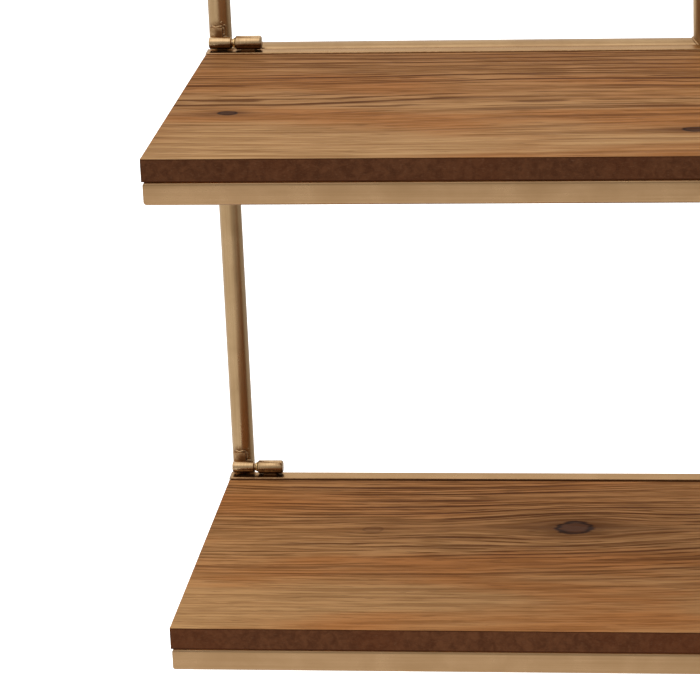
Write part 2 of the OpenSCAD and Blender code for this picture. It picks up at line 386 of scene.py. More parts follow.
# ---------------------------------------------------------------------------
# Frame weld beads
# A thin run of weld metal round each saddle, laid by hand, so that its width and ripple vary.
# It is coated with the tube and only a little rougher.
# ---------------------------------------------------------------------------
bead_gold = gold_finish(
    "weld_bead_gold",
    light=(0.44, 0.285, 0.150),
    deep=(0.30, 0.175, 0.085),
    line_stretch=(1.0, 1.0, 1.0),
    roughness=0.36,
    relief=0.35,
)
bead_dice = random.Random(7)


def weld_bead(name, path, radius, body, closed, ripple=0.14, coat=bead_gold, sides=10):
    """A rippled rounded run along a path of points; an open one thins out at both ends."""
    count = len(path)
    thin_end = 0.35
    points = []
    for k, at in enumerate(path):
        before = path[(k - 1) % count] if closed or k > 0 else at
        after = path[(k + 1) % count] if closed or k < count - 1 else at
        ahead = (Vector(after) - Vector(before)).normalized()
        flat = ahead.orthogonal().normalized()
        if points:
            flat = (last_flat - ahead * last_flat.dot(ahead)).normalized()
        last_flat = flat
        upright = ahead.cross(flat)
        size = radius * (1 + ripple * math.sin(k * 2.3) + bead_dice.uniform(-0.10, 0.10))
        if not closed and k in (0, count - 1):
            size *= thin_end
        for i in range(sides):
            turn = 2 * math.pi * i / sides
            points.append(Vector(at) + size * (math.cos(turn) * flat + math.sin(turn) * upright))
    faces = bridge(count, sides, closed)
    if not closed:
        faces.append(tuple(range(sides)))
        faces.append(tuple(range((count - 1) * sides, count * sides)))
    return new_piece(name, points, faces, body, coat, crease=80.0)


def saddle_ring(steps=56, clear=0.0001):
    """Points round a saddle as offsets: across the two tubes, in Y, and away from the other."""
    ring = []
    for k in range(steps):
        turn = 2 * math.pi * k / steps
        away = post_r * max(abs(math.sin(turn)), 0.10) + 2 * clear
        ring.append(((post_r + clear) * math.sin(turn), (post_r + clear) * math.cos(turn), away))
    return ring


saddle_bead_r = 0.0008
frame_y = sum(c.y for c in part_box("top_rail")) / 2
for height in ("top", "middle", "bottom"):
    rail_z = sum(c.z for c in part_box(f"{height}_rail")) / 2
    for side, outward, post_centre in (("left", -1, left_x), ("right", 1, right_x)):
        path = [
            (post_centre - outward * away, frame_y + off_y, rail_z + across)
            for across, off_y, away in saddle_ring()
        ]
        weld_bead(f"{height}_{side}_saddle_weld", path, saddle_bead_r, "wall_frame", True)
for name, rail_z, way in (("middle", middle_z, 1), ("top", top_z, -1)):
    path = [
        (across, frame_y + off_y, rail_z + way * away) for across, off_y, away in saddle_ring()
    ]
    weld_bead(f"centre_post_{name}_weld", path, saddle_bead_r, "wall_frame", True)

# ---------------------------------------------------------------------------
# Hanger tabs
# Four flat steel tabs with a rounded end, welded behind the top and bottom rails. One wall
# screw goes through each; their edges are deburred.
# ---------------------------------------------------------------------------


def deburr(node, width, segments=2, angle=40.0):
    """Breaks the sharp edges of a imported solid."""
    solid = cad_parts[node]
    edge = solid.modifiers.new("broken edge", "BEVEL")
    edge.width = width
    edge.segments = segments
    edge.limit_method = "ANGLE"
    edge.angle_limit = math.radians(angle)
    edge.harden_normals = False
    return solid


def finish_solid(node, material):
    """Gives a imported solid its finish."""
    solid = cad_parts[node]
    solid.data.materials.clear()
    solid.data.materials.append(material)
    return solid


tab_gold = gold_finish(
    "hanger_tab_gold",
    light=(0.45, 0.295, 0.158),
    deep=(0.35, 0.22, 0.11),
    line_stretch=(1.0, 0.2, 1.0),
    roughness=0.34,
    relief=0.15,
)
tab_edge = 0.0003
tab_bead_r = 0.0009
seam_below_rail, seam_length = 0.0045, 0.0055
for height, way in (("top", 1), ("bottom", -1)):
    for side in ("left", "right"):
        node = f"hanger_tab_{height}_{side}"
        finish_solid(node, tab_gold)
        deburr(node, tab_edge)
        low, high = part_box(node)
        seam_z = way * top_z - way * seam_below_rail
        for edge_x, label in ((low.x, "a"), (high.x, "b")):
            path = [
                (edge_x, low.y + 0.0002, seam_z + way * (seam_length * k / 8)) for k in range(9)
            ]
            weld_bead(f"{node}_weld_{label}", path, tab_bead_r, "wall_frame", False)

# ---------------------------------------------------------------------------
# Upright end plugs
# Domed plastic plugs pushed into the four open ends of the uprights, coloured to match.
# ---------------------------------------------------------------------------


def moulded_plastic(name, light, deep, roughness):
    """Lightly textured plastic with faint flow marks."""
    material, bench, place = blank_material(name)
    flow = bench.clouds(place, 90.0, 3.0, 0.5, 0.8)
    spark = bench.clouds(place, 2200.0, 2.0, 0.6)
    colour = bench.blend(bench.spread(flow, 0.35, 0.65), deep, light)
    rough = bench.spread(spark, 0.3, 0.7, roughness - 0.05, roughness + 0.07)
    normal = bench.relief(spark, 0.25, 0.0001)
    bench.shade({"Base Color": colour, "Roughness": rough, "Normal": normal})
    return material


def turned(axis_points, sides=64):
    """Points and faces of a shape turned about X: axis_points is a list of (x, radius)."""
    points = []
    for x, radius in axis_points:
        for i in range(sides):
            turn = 2 * math.pi * i / sides
            points.append((x, radius * math.cos(turn), radius * math.sin(turn)))
    faces = bridge(len(axis_points), sides, False)
    faces.append(tuple(range(sides)))
    faces.append(tuple(range((len(axis_points) - 1) * sides, len(axis_points) * sides)))
    return points, faces


plug_plastic = moulded_plastic("end_plug_plastic", (0.42, 0.27, 0.15), (0.35, 0.21, 0.11), 0.38)
plug_depth = 0.008
plug_r = tube_r - tube_wall - 0.0001
head_edge, head_round = 0.0005, 0.0011
head_flat_r, head_round_r = 0.0058, 0.0012
plug_profile = [(-plug_depth, plug_r), (0.00002, plug_r)]
plug_profile += [(0.00004, tube_r - 0.0001), (head_edge, tube_r)]
for k in range(1, 7):
    turn = math.pi / 2 * k / 6
    rise = head_edge + head_round * math.sin(turn)
    plug_profile.append((rise, head_flat_r + head_round_r * math.cos(turn)))
plug_profile.append((head_edge + head_round, 0.0002))
plug_points, plug_faces = [], []
frame_low, frame_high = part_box("left_upright")
for centre_x in (left_x, right_x):
    for end_z, way in ((frame_high.z, 1), (frame_low.z, -1)):
        cap_points, cap_faces = turned(plug_profile, 48)
        offset = len(plug_points)
        plug_points += [(centre_x + y, frame_y + z, end_z + way * x) for x, y, z in cap_points]
        plug_faces += [tuple(offset + i for i in face) for face in cap_faces]
plugs = new_piece("upright_end_plugs", plug_points, plug_faces, "wall_frame", plug_plastic)
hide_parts("upright_plugs")

# ---------------------------------------------------------------------------
# Wall bumpers
# Small black rubber pads glued behind the uprights, which keep the tubes off the wall.
# ---------------------------------------------------------------------------
pad_edge = 0.0003
rubber_black = (0.012, 0.012, 0.012)
rubber_bloom = (0.04, 0.038, 0.036)
bumper_rubber, bench, place = blank_material("bumper_rubber")
bloom = bench.clouds(place, 260.0, 5.0, 0.6)
pores = bench.clouds(place, 2600.0, 2.0, 0.5)
bench.shade(
    {
        "Base Color": bench.blend(bench.spread(bloom, 0.4, 0.7), rubber_black, rubber_bloom),
        "Roughness": bench.spread(bloom, 0.3, 0.7, 0.55, 0.78),
        "Normal": bench.relief(pores, 0.3, 0.0002),
    }
)
finish_solid("wall_bumpers", bumper_rubber)
deburr("wall_bumpers", pad_edge)

# ---------------------------------------------------------------------------
# Frame-side hinge barrels
# Turned steel half barrels, welded across the front of each upright. The end that faces the
# other half steps down to a narrow neck, and the undersides are painted dark brown as shade.
# ---------------------------------------------------------------------------
# Where the painted shade on the barrels' undersides is full and where it ends, as heights over the hinge
# axis.
barrel_painted_shade_reach = {"upper": (-0.0014, 0.0008), "lower": (-0.0028, 0.0003)}
barrel_gold = {}
for tier, axis_z in zip(("upper", "lower"), hinge_heights):
    barrel_gold[tier] = gold_finish(
        f"{tier}_barrel_gold",
        light=(0.54, 0.37, 0.205),
        deep=(0.38, 0.235, 0.115),
        line_stretch=(1.0, 0.15, 0.15),
        roughness=0.24,
        relief=0.18,
        painted_shade_band=("Z", *(axis_z + reach for reach in barrel_painted_shade_reach[tier])),
    )


def soft_corner(x0, r0, x1, r1, bulge, steps=5):
    """Profile points of a rounded corner from (x0, r0) to (x1, r1), bulging outward."""
    points = []
    for k in range(steps + 1):
        t = k / steps
        wide = bulge * math.sin(math.pi * t)
        points.append((x0 + (x1 - x0) * t, r0 + (r1 - r0) * t + wide))
    return points


barrel_low, barrel_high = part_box("upper_left_frame_barrel")
barrel_r = (barrel_high.z - barrel_low.z) / 2
neck_length = 0.0012
corner_drop = 0.0009
bore_r = 0.0021
for tier in ("upper", "lower"):
    for side, outward in (("left", -1), ("right", 1)):
        node = f"{tier}_{side}_frame_barrel"
        low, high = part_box(node)
        length = high.x - low.x - neck_length
        profile = [(0.0, 0.0006)]
        profile += soft_corner(0.0, barrel_r - corner_drop, corner_drop, barrel_r, 0.0002)
        profile += soft_corner(length - 0.0007, barrel_r, length, barrel_r - corner_drop, 0.0001)
        profile += [(length, barrel_r - 0.00135), (length + neck_length, barrel_r - 0.00145)]
        profile.append((length + neck_length, bore_r))
        points, faces = turned(profile)
        axis_y, axis_z = (low.y + high.y) / 2, (low.z + high.z) / 2
        outer_x = low.x if side == "left" else high.x
        points = [(outer_x - outward * x, axis_y + y, axis_z + z) for x, y, z in points]
        barrel = new_piece(f"{node}_turned", points, faces, "wall_frame", barrel_gold[tier])
        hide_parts(node)

# ---------------------------------------------------------------------------
# Hinge gussets and their welds
# A small well-rounded block sits on each frame barrel, against the upright, welded by hand. The
# weld runs up its inner side, stains the coat with its heat and leaves a few specks of spatter.
# ---------------------------------------------------------------------------
gusset_heat = []
for tier in ("upper", "lower"):
    low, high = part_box(f"{tier}_hinge_gussets")
    for post_centre, outward in ((left_x, -1), (right_x, 1)):
        heat_z = low.z * 0.45 + high.z * 0.55
        gusset_heat.append((post_centre - outward * 0.0010, low.y, heat_z))
gusset_gold = gold_finish(
    "gusset_gold",
    light=(0.50, 0.33, 0.175),
    deep=(0.30, 0.165, 0.070),
    line_stretch=(0.5, 0.5, 0.5),
    roughness=0.30,
    relief=0.45,
    stains=gusset_heat,
    stain_radius=0.0045,
)
gusset_round = 0.0020
side_bead_r, top_bead_r, barrel_bead_r = 0.0009, 0.0008, 0.0010
rough_ripple = 0.22


def skin_y(x, post_centre, proud=0.0):
    """Front of the upright at x."""
    return frame_y - math.sqrt(max(post_r**2 - (x - post_centre) ** 2, 0.0)) - proud


for tier in ("upper", "lower"):
    node = f"{tier}_hinge_gussets"
    finish_solid(node, gusset_gold)
    deburr(node, gusset_round, 5)
    gusset_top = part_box(node)[1].z
    for side, outward, post_centre in (("left", -1, left_x), ("right", 1, right_x)):
        barrel_low, barrel_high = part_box(f"{tier}_{side}_frame_barrel")
        axis_y = (barrel_low.y + barrel_high.y) / 2
        axis_z = (barrel_low.z + barrel_high.z) / 2
        inner_x = post_centre - outward * 0.0026
        side_y = skin_y(inner_x, post_centre, 0.0001)
        side_path = [
            (inner_x - outward * 0.0002, side_y, axis_z + barrel_r + 0.0002 + 0.0050 * k / 9)
            for k in range(10)
        ]
        top_path = []
        for k in range(9):
            x = inner_x + outward * 0.0070 * k / 8
            z = gusset_top + 0.0001 + 0.0004 * math.sin(k)
            top_path.append((x, skin_y(x, post_centre, 0.0002), z))
        barrel_path = []
        for k in range(12):
            x = post_centre + outward * 0.0058 - outward * 0.0112 * k / 11
            y = skin_y(x, post_centre, -0.0001) - 0.0008
            barrel_path.append((x, y, axis_z + barrel_r - 0.0013))
        under_path = [(x, y, 2 * axis_z - z) for x, y, z in barrel_path]
        for label, path, bead_r, ripple in (
            ("gusset_side", side_path, side_bead_r, rough_ripple),
            ("gusset_top", top_path, top_bead_r, rough_ripple),
            ("barrel_top", barrel_path, barrel_bead_r, 0.2),
            ("barrel_under", under_path, barrel_bead_r, 0.2),
        ):
            weld_bead(f"{tier}_{side}_{label}_weld", path, bead_r, "wall_frame", False, ripple)
        speck_points, speck_faces = [], []
        for k in range(6):
            x = post_centre - outward * bead_dice.uniform(0.0006, 0.0042)
            z = axis_z + barrel_r + bead_dice.uniform(0.002, 0.0085)
            size = bead_dice.uniform(0.0003, 0.0008)
            blob = bmesh.new()
            bmesh.ops.create_icosphere(blob, subdivisions=2, radius=size)
            blob.verts.index_update()
            offset = len(speck_points)
            for vertex in blob.verts:
                lump = 1 + 0.35 * noise.noise(vertex.co * 2500 + Vector((k, 0, 0)))
                spot = vertex.co * lump
                y = skin_y(x, post_centre) + spot.y * 0.6
                speck_points.append((x + spot.x, y, z + spot.z))
            speck_faces += [tuple(offset + v.index for v in face.verts) for face in blob.faces]
            blob.free()
        specks = f"{tier}_{side}_weld_spatter"
        new_piece(specks, speck_points, speck_faces, "wall_frame", bead_gold, crease=80.0)

# ---------------------------------------------------------------------------
# Hinge pins and washers
# Ground steel pins pressed into the frame barrels, with a thin brass washer on each between
# the two halves. Only the rim of the washer can be seen.
# ---------------------------------------------------------------------------


def bare_metal(name, light, deep, roughness, stretch):
    """Uncoated metal with turning marks and dull patches."""
    material, bench, place = blank_material(name)
    marks = bench.clouds(bench.stretched(place, stretch), 1400.0, 3.0, 0.6)
    dull = bench.clouds(place, 300.0, 4.0, 0.6, 0.5)
    colour = bench.blend(bench.spread(dull, 0.4, 0.65), light, deep)
    rough = bench.spread(marks, 0.3, 0.7, roughness - 0.06, roughness + 0.08)
    normal = bench.relief(marks, 0.2, 0.0001)
    bench.shade({"Base Color": colour, "Roughness": rough, "Normal": normal, "Metallic": 1.0})
    return material


pin_steel = bare_metal("hinge_pin_steel", (0.56, 0.55, 0.53), (0.36, 0.34, 0.31), 0.25, (1, 0.1, 0.1))
washer_brass = bare_metal("washer_brass", (0.78, 0.56, 0.26), (0.36, 0.20, 0.08), 0.32, (1, 0.2, 0.2))
for tier in ("upper", "lower"):
    finish_solid(f"{tier}_hinge_washers", washer_brass)
    for side in ("left", "right"):
        finish_solid(f"{tier}_{side}_hinge_pin", pin_steel)

# ---------------------------------------------------------------------------
# Tray tubes
# Each shelf sits in a tray of square steel tube: a front rail mitred to two side rails, and a
# taller back rail a little way behind the board, its front face painted dark brown as the shade
# in the gap behind the board. The tube's long edges are rolled round.
# ---------------------------------------------------------------------------
edge_r = 0.0025
back_edge_r = 0.0018


def rolled_outline(width, height, radius, steps=7):
    """Points (u, v) round a tube section with rolled corners, lower left corner at zero."""
    outline = []
    corners = [(width - radius, radius, -90), (width - radius, height - radius, 0)]
    corners += [(radius, height - radius, 90), (radius, radius, 180)]
    for u, v, first in corners:
        for k in range(steps + 1):
            turn = math.radians(first + 90 * k / steps)
            outline.append((u + radius * math.cos(turn), v + radius * math.sin(turn)))
    return outline


def tray_tube(outline, run, start, end, corner):
    """Points and faces of a tube along X or Y; start and end place each end at a given u."""
    points = []
    for edge in (start, end):
        for u, v in outline:
            if run == "X":
                points.append((edge(u), corner[1] + u, corner[2] + v))
            else:
                points.append((corner[0] + u, edge(u), corner[2] + v))
    count = len(outline)
    faces = bridge(2, count, False)
    faces.append(tuple(range(count)))
    faces.append(tuple(range(count, 2 * count)))
    return points, faces


tray_gold = {}
for run, line_stretch in (("front", (0.012, 1.0, 1.0)), ("side", (1.0, 0.012, 1.0))):
    tray_gold[run] = gold_finish(
        f"tray_{run}_gold",
        light=(0.435, 0.27, 0.140),
        deep=(0.375, 0.225, 0.108),
        line_stretch=line_stretch,
        roughness=0.30,
        relief=0.10,
    )
plug_edge = 0.0002
tray_bead_r = 0.0009
tray_weld_length = 0.0110
for tier in ("upper", "lower"):
    shelf = f"{tier}_shelf"
    front_low, front_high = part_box(f"{tier}_front_rail")
    square = front_high.z - front_low.z
    section = rolled_outline(square, square, edge_r)
    points, faces = tray_tube(
        section, "X", lambda u: front_low.x + u, lambda u: front_high.x - u, front_low
    )
    piece = new_piece(f"{tier}_front_tube", points, faces, shelf, tray_gold["front"])
    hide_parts(f"{tier}_front_rail")
    for side in ("left", "right"):
        low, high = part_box(f"{tier}_{side}_rail")
        mitre_y, way = (low.y, 1) if side == "left" else (low.y + square, -1)
        points, faces = tray_tube(
            section, "Y", lambda u: mitre_y + way * u, lambda u: high.y, low
        )
        piece = new_piece(f"{tier}_{side}_tube", points, faces, shelf, tray_gold["side"])
        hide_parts(f"{tier}_{side}_rail")
    low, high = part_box(f"{tier}_back_rail")
    # The back rail's front face gets a dark-brown band: painted shade in the gap behind the board.
    back_gold = gold_finish(
        f"{tier}_tray_back_gold",
        light=(0.400, 0.250, 0.130),
        deep=(0.340, 0.200, 0.095),
        line_stretch=(0.012, 1.0, 1.0),
        roughness=0.27,
        relief=0.10,
        painted_shade_band=("Y", low.y + 0.00045, low.y + 0.0008),
        edge_tint=(1.0, 0.85, 0.69),
    )
    section = rolled_outline(high.y - low.y, high.z - low.z, back_edge_r)
    points, faces = tray_tube(section, "X", lambda u: low.x, lambda u: high.x, low)
    piece = new_piece(f"{tier}_back_tube", points, faces, shelf, back_gold)
    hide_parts(f"{tier}_back_rail")
    finish_solid(f"{tier}_rail_plugs", plug_plastic)
    deburr(f"{tier}_rail_plugs", plug_edge)
    for side, inward in (("left", 1), ("right", -1)):
        side_low, side_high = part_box(f"{tier}_{side}_rail")
        inner_x = side_high.x if side == "left" else side_low.x
        weld_z = side_low.z + 0.0015
        path = [
            (inner_x + inward * 0.0001, side_high.y - 0.0001, weld_z + tray_weld_length * k / 11)
            for k in range(12)
        ]
        weld_bead(f"{tier}_{side}_tray_weld", path, tray_bead_r, shelf, False)

# ---------------------------------------------------------------------------
# Tray-side hinge barrels
# The turning halves, domed at their closed inner ends. A short block joins each to the top of
# the back rail, with a run of weld on both sides of it.
# ---------------------------------------------------------------------------
# The barrel legs and their welds are nearly black: painted shade, as they sit in the shadow under the
# barrels.
legs_painted_shade_gold = gold_finish(
    "barrel_leg_painted_shade_gold",
    light=(0.13, 0.065, 0.026),
    deep=(0.06, 0.024, 0.009),
    line_stretch=(1.0, 1.0, 1.0),
    roughness=0.36,
    relief=0.4,
)
dome_r = 0.0016
leg_bead_r = 0.0006
leg_weld_length = 0.0092
for tier in ("upper", "lower"):
    shelf = f"{tier}_shelf"
    finish_solid(f"{tier}_barrel_legs", legs_painted_shade_gold)
    leg_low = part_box(f"{tier}_barrel_legs")[0]
    for side, outward in (("left", -1), ("right", 1)):
        node = f"{tier}_{side}_tray_barrel"
        low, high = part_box(node)
        length = high.x - low.x
        sleeve_r = (high.z - low.z) / 2
        profile = [(0.0, 0.0022)]
        profile += soft_corner(0.0, sleeve_r - 0.0012, 0.0011, sleeve_r, 0.00018)
        for k in range(9):
            turn = math.pi / 2 * k / 8
            dome_x = length - dome_r + dome_r * math.sin(turn)
            profile.append((dome_x, sleeve_r - dome_r + dome_r * math.cos(turn)))
        profile.append((length, 0.0004))
        points, faces = turned(profile)
        axis_y, axis_z = (low.y + high.y) / 2, (low.z + high.z) / 2
        joint_x = low.x if side == "left" else high.x
        points = [(joint_x - outward * x, axis_y + y, axis_z + z) for x, y, z in points]
        barrel = new_piece(f"{node}_turned", points, faces, shelf, barrel_gold[tier])
        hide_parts(node)
        start_x = joint_x - outward * length / 2 - leg_weld_length / 2
        for way, label in ((-1, "front"), (1, "rear")):
            seam_y = axis_y + way * 0.0031
            path = [
                (start_x + leg_weld_length * k / 10, seam_y, leg_low.z + 0.0004) for k in range(11)
            ]
            name = f"{tier}_{side}_leg_{label}_weld"
            weld_bead(name, path, leg_bead_r, shelf, False, ripple=0.2, coat=legs_painted_shade_gold)

# ---------------------------------------------------------------------------
# Board screws
# Zinc-plated steel screws with a tapered head and a cross recess, driven up through the side
# rails of the tray.
# ---------------------------------------------------------------------------
screw_zinc = bare_metal("board_screw_zinc", (0.55, 0.50, 0.40), (0.33, 0.29, 0.22), 0.34, (0.3, 0.3, 1))
for tier in ("upper", "lower"):
    finish_solid(f"{tier}_board_screws", screw_zinc)
    deburr(f"{tier}_board_screws", 0.00015, 1)

# ---------------------------------------------------------------------------
# Boards
# Each board is a dense fibreboard core with a thin knotty timber face glued on top and below.
# The faces are stained and oiled; the bare core shows as a dark brown edge all round.
# ---------------------------------------------------------------------------


def timber_knot_effect():
    """One knot: the hard dark eye, the brown halo round it and how far it pushes the grain."""
    tree, bench, start, end = shared_effect(
        "timber_knot",
        [
            ("Coordinate", "Vector", (0, 0, 0)),
            ("Centre", "Vector", (0, 0, 0)),
            ("Inverse Size", "Vector", (1, 1, 0)),
            ("Push", "Float", 0.01),
        ],
        [("Eye", "Float"), ("Halo", "Float"), ("Shift", "Float"), ("Rim", "Float")],
    )
    away = bench.vector("SUBTRACT", start.outputs["Coordinate"], start.outputs["Centre"])
    scaled = bench.vector("MULTIPLY", away, start.outputs["Inverse Size"])
    wobble = bench.stretched(start.outputs["Coordinate"], (70, 260, 1))
    wobble = bench.clouds(wobble, 1.0, 4.0, 0.62)
    distance = bench.vector("LENGTH", scaled)
    distance = bench.maths("MULTIPLY_ADD", bench.maths("SUBTRACT", wobble, 0.5), 0.75, distance)
    eye = bench.spread(distance, 0.84, 1.08, 1.0, 0.0)
    rim = bench.maths("MULTIPLY", eye, bench.spread(distance, 0.58, 0.84))
    parts = bench.put("ShaderNodeSeparateXYZ", {0: scaled})
    wide = bench.maths("MULTIPLY", parts.outputs["X"], 0.36)
    far = bench.maths("MULTIPLY", parts.outputs["Y"], 0.62)
    reach = bench.maths("MULTIPLY_ADD", far, far, bench.maths("MULTIPLY", wide, wide))
    halo = bench.maths("EXPONENT", bench.maths("MULTIPLY", reach, -1.3))
    long = bench.maths("MULTIPLY", parts.outputs["X"], 0.20)
    narrow = bench.maths("MULTIPLY", parts.outputs["Y"], 1.9)
    tail = bench.maths("MULTIPLY_ADD", narrow, narrow, bench.maths("MULTIPLY", long, long))
    tail = bench.maths("EXPONENT", bench.maths("MULTIPLY", tail, -1.2))
    halo = bench.maths("MAXIMUM", halo, tail)
    inward = bench.maths("MULTIPLY", bench.axis(away, "Y"), -1.0)
    pull = bench.maths("EXPONENT", bench.maths("MULTIPLY", reach, -0.45))
    shift = bench.maths("MULTIPLY", bench.maths("MULTIPLY", inward, pull), start.outputs["Push"])
    for socket, value in (("Eye", eye), ("Halo", halo), ("Shift", shift), ("Rim", rim)):
        tree.links.new(value, end.inputs[socket])
    return tree


def timber_grain_effect():
    """Flat-sawn softwood: growth bands, dark drawn-out lines, finer lines and short pores."""
    tree, bench, start, end = shared_effect(
        "timber_grain",
        [("Coordinate", "Vector", (0, 0, 0)), ("Shift", "Float", 0.0)],
        [
            ("Bands", "Float"),
            ("Lines", "Float"),
            ("Fine Lines", "Float"),
            ("Pores", "Float"),
            ("Blotch", "Float"),
        ],
    )
    slide = bench.put("ShaderNodeCombineXYZ", {"Y": start.outputs["Shift"]}).outputs[0]
    moved = bench.vector("ADD", start.outputs["Coordinate"], slide)
    drift = bench.clouds(bench.stretched(moved, (1.5, 4.5, 4.5)), 1.0, 1.0, 0.4)
    tremble = bench.clouds(bench.stretched(moved, (7.0, 45.0, 45.0)), 1.0, 3.0, 0.6)
    ring = bench.maths("MULTIPLY", drift, 11.0)
    ring = bench.maths("MULTIPLY_ADD", bench.axis(moved, "Y"), 78.0, ring)
    ring = bench.maths("MULTIPLY_ADD", tremble, 0.5, ring)
    saw = bench.maths("FRACT", ring)
    fall = bench.spread(saw, 0.94, 1.0, 1.0, 0.0)
    bands = bench.maths("MULTIPLY", bench.spread(saw, 0.25, 0.92), fall)
    patchy = bench.clouds(bench.stretched(moved, (4.0, 22.0, 22.0), (2.0, 3.0, 8.0)), 1.0, 3.0, 0.5)
    bands = bench.maths("MULTIPLY", bands, bench.spread(patchy, 0.34, 0.60, 0.25, 1.0))
    gate = bench.clouds(bench.stretched(moved, (3.0, 30.0, 30.0), (4.0, 9.0, 2.0)), 1.0, 4.0, 0.6)
    fall = bench.spread(saw, 0.88, 0.95, 1.0, 0.0)
    lines = bench.maths("MULTIPLY", bench.spread(saw, 0.66, 0.80), fall)
    lines = bench.maths("MULTIPLY", lines, bench.spread(gate, 0.44, 0.60))
    twin = bench.maths("MULTIPLY_ADD", tremble, 0.8, bench.maths("MULTIPLY", ring, 2.63))
    twin = bench.maths("PINGPONG", twin, 0.5)
    broken = bench.stretched(moved, (13.0, 150.0, 150.0), (6.0, 1.0, 3.0))
    broken = bench.clouds(broken, 1.0, 3.0, 0.6)
    twin = bench.maths("MULTIPLY", bench.spread(twin, 0.28, 0.38), bench.spread(broken, 0.43, 0.53))
    twin = bench.maths("MULTIPLY", twin, bench.spread(gate, 0.36, 0.56, 0.12, 0.85))
    lines = bench.maths("MAXIMUM", lines, twin)
    fine = bench.clouds(bench.stretched(moved, (20.0, 440.0, 440.0)), 1.0, 2.0, 0.7)
    pore = bench.clouds(bench.stretched(moved, (55.0, 800.0, 800.0), (1.0, 5.0, 3.0)), 1.0, 2.0, 0.5)
    blotch = bench.stretched(moved, (4.0, 17.0, 17.0), (7.0, 1.0, 5.0))
    blotch = bench.clouds(blotch, 1.0, 3.0, 0.5, 0.3)
    for socket, value in (
        ("Bands", bands),
        ("Lines", lines),
        ("Fine Lines", bench.spread(fine, 0.44, 0.60)),
        ("Pores", bench.spread(pore, 0.62, 0.70)),
        ("Blotch", blotch),
    ):
        tree.links.new(value, end.inputs[socket])
    return tree


timber_knot = timber_knot_effect()
timber_grain = timber_grain_effect()


def timber_face(name, knots, place_shift, front_y, back_y, pale, mid, deep, eye):
    """Oiled knotty timber; pale towards the front edge, deeper and more streaked at the back."""
    material, bench, place = blank_material(name)
    eyes, halos, rims, shift = 0.0, 0.0, 0.0, 0.0
    for centre, half_size, push, strength in knots:
        inverse = (1 / half_size[0], 1 / half_size[1], 0.0)
        knot = bench.put(
            "ShaderNodeGroup",
            {"Coordinate": place, "Centre": centre, "Inverse Size": inverse, "Push": push},
            node_tree=timber_knot,
        )
        eyes = bench.maths("MULTIPLY_ADD", knot.outputs["Eye"], strength, eyes)
        rims = bench.maths("MULTIPLY_ADD", knot.outputs["Rim"], strength, rims)
        halos = bench.maths("MULTIPLY_ADD", knot.outputs["Halo"], strength, halos)
        shift = bench.maths("ADD", knot.outputs["Shift"], shift)
    grain = bench.put(
        "ShaderNodeGroup",
        {"Coordinate": bench.stretched(place, (1, 1, 1), place_shift), "Shift": shift},
        node_tree=timber_grain,
    )
    towards_back = bench.spread(bench.axis(place, "Y"), front_y, back_y)
    colour = bench.blend(towards_back, pale, mid)
    red = tuple(c * k for c, k in zip(mid, (0.98, 0.80, 0.62)))
    colour = bench.blend(bench.spread(grain.outputs["Blotch"], 0.42, 0.62, 0.0, 0.85), colour, red)
    band_amount = bench.spread(towards_back, 0.0, 1.0, 0.32, 0.55)
    band_amount = bench.maths("MULTIPLY", grain.outputs["Bands"], band_amount)
    colour = bench.blend(band_amount, colour, deep)
    line_amount = bench.spread(towards_back, 0.10, 0.6, 0.32, 1.0)
    line_amount = bench.maths("MULTIPLY", grain.outputs["Lines"], line_amount)
    colour = bench.blend(line_amount, colour, (0.088, 0.026, 0.005))
    fine_amount = bench.spread(towards_back, 0.0, 0.8, 0.30, 0.44)
    fine_amount = bench.maths("MULTIPLY", grain.outputs["Fine Lines"], fine_amount)
    colour = bench.blend(fine_amount, colour, (0.105, 0.038, 0.011))
    pore_amount = bench.maths("MULTIPLY", grain.outputs["Pores"], 0.40)
    colour = bench.blend(pore_amount, colour, (0.07, 0.026, 0.009))
    colour = bench.blend(bench.maths("MULTIPLY", halos, 0.84), colour, (0.080, 0.025, 0.006))
    colour = bench.blend(bench.maths("MULTIPLY", eyes, 0.93), colour, eye)
    colour = bench.blend(bench.maths("MULTIPLY", rims, 0.88), colour, (0.020, 0.006, 0.0015))
    facing = bench.axis(bench.put("ShaderNodeTexCoord").outputs["Normal"], "Z")
    side_on = bench.spread(bench.maths("ABSOLUTE", facing), 0.35, 0.75, 1.0, 0.0)
    colour = bench.blend(side_on, colour, (0.062, 0.020, 0.007))
    relief = bench.maths("MULTIPLY_ADD", grain.outputs["Bands"], -0.3, 0.6)
    relief = bench.maths("MULTIPLY_ADD", grain.outputs["Fine Lines"], -0.7, relief)
    relief = bench.maths("MULTIPLY_ADD", grain.outputs["Lines"], -0.8, relief)
    relief = bench.maths("MULTIPLY_ADD", grain.outputs["Pores"], -0.7, relief)
    relief = bench.maths("MULTIPLY_ADD", rims, -1.0, relief)
    rough = bench.spread(grain.outputs["Fine Lines"], 0.0, 1.0, 0.60, 0.74)
    rough = bench.maths("MULTIPLY_ADD", eyes, -0.10, rough)
    bench.shade(
        {
            "Base Color": colour,
            "Roughness": rough,
            "Normal": bench.relief(relief, 0.35, 0.0004),
            "Specular IOR Level": 0.025,
        }
    )
    return material


def fibreboard_edge(name, dark, light, ruddy, chip):
    """Stained fibreboard: a dark, faintly mottled brown with fine compressed chips."""
    material, bench, place = blank_material(name)
    mottle = bench.clouds(place, 210.0, 4.0, 0.65, 0.5)
    chips = bench.clouds(bench.stretched(place, (0.5, 1.0, 1.6)), 900.0, 3.0, 0.6)
    red = bench.clouds(place, 16.0, 3.0, 0.5)
    colour = bench.blend(bench.spread(mottle, 0.28, 0.74), dark, light)
    colour = bench.blend(bench.spread(red, 0.45, 0.7, 0.0, 0.5), colour, ruddy)
    colour = bench.blend(bench.spread(chips, 0.5, 0.8, 0.0, 0.5), colour, chip)
    bench.shade(
        {
            "Base Color": colour,
            "Roughness": bench.spread(chips, 0.2, 0.8, 0.72, 0.88),
            "Normal": bench.relief(chips, 0.4, 0.0003),
            "Specular IOR Level": 0.08,
        }
    )
    return material


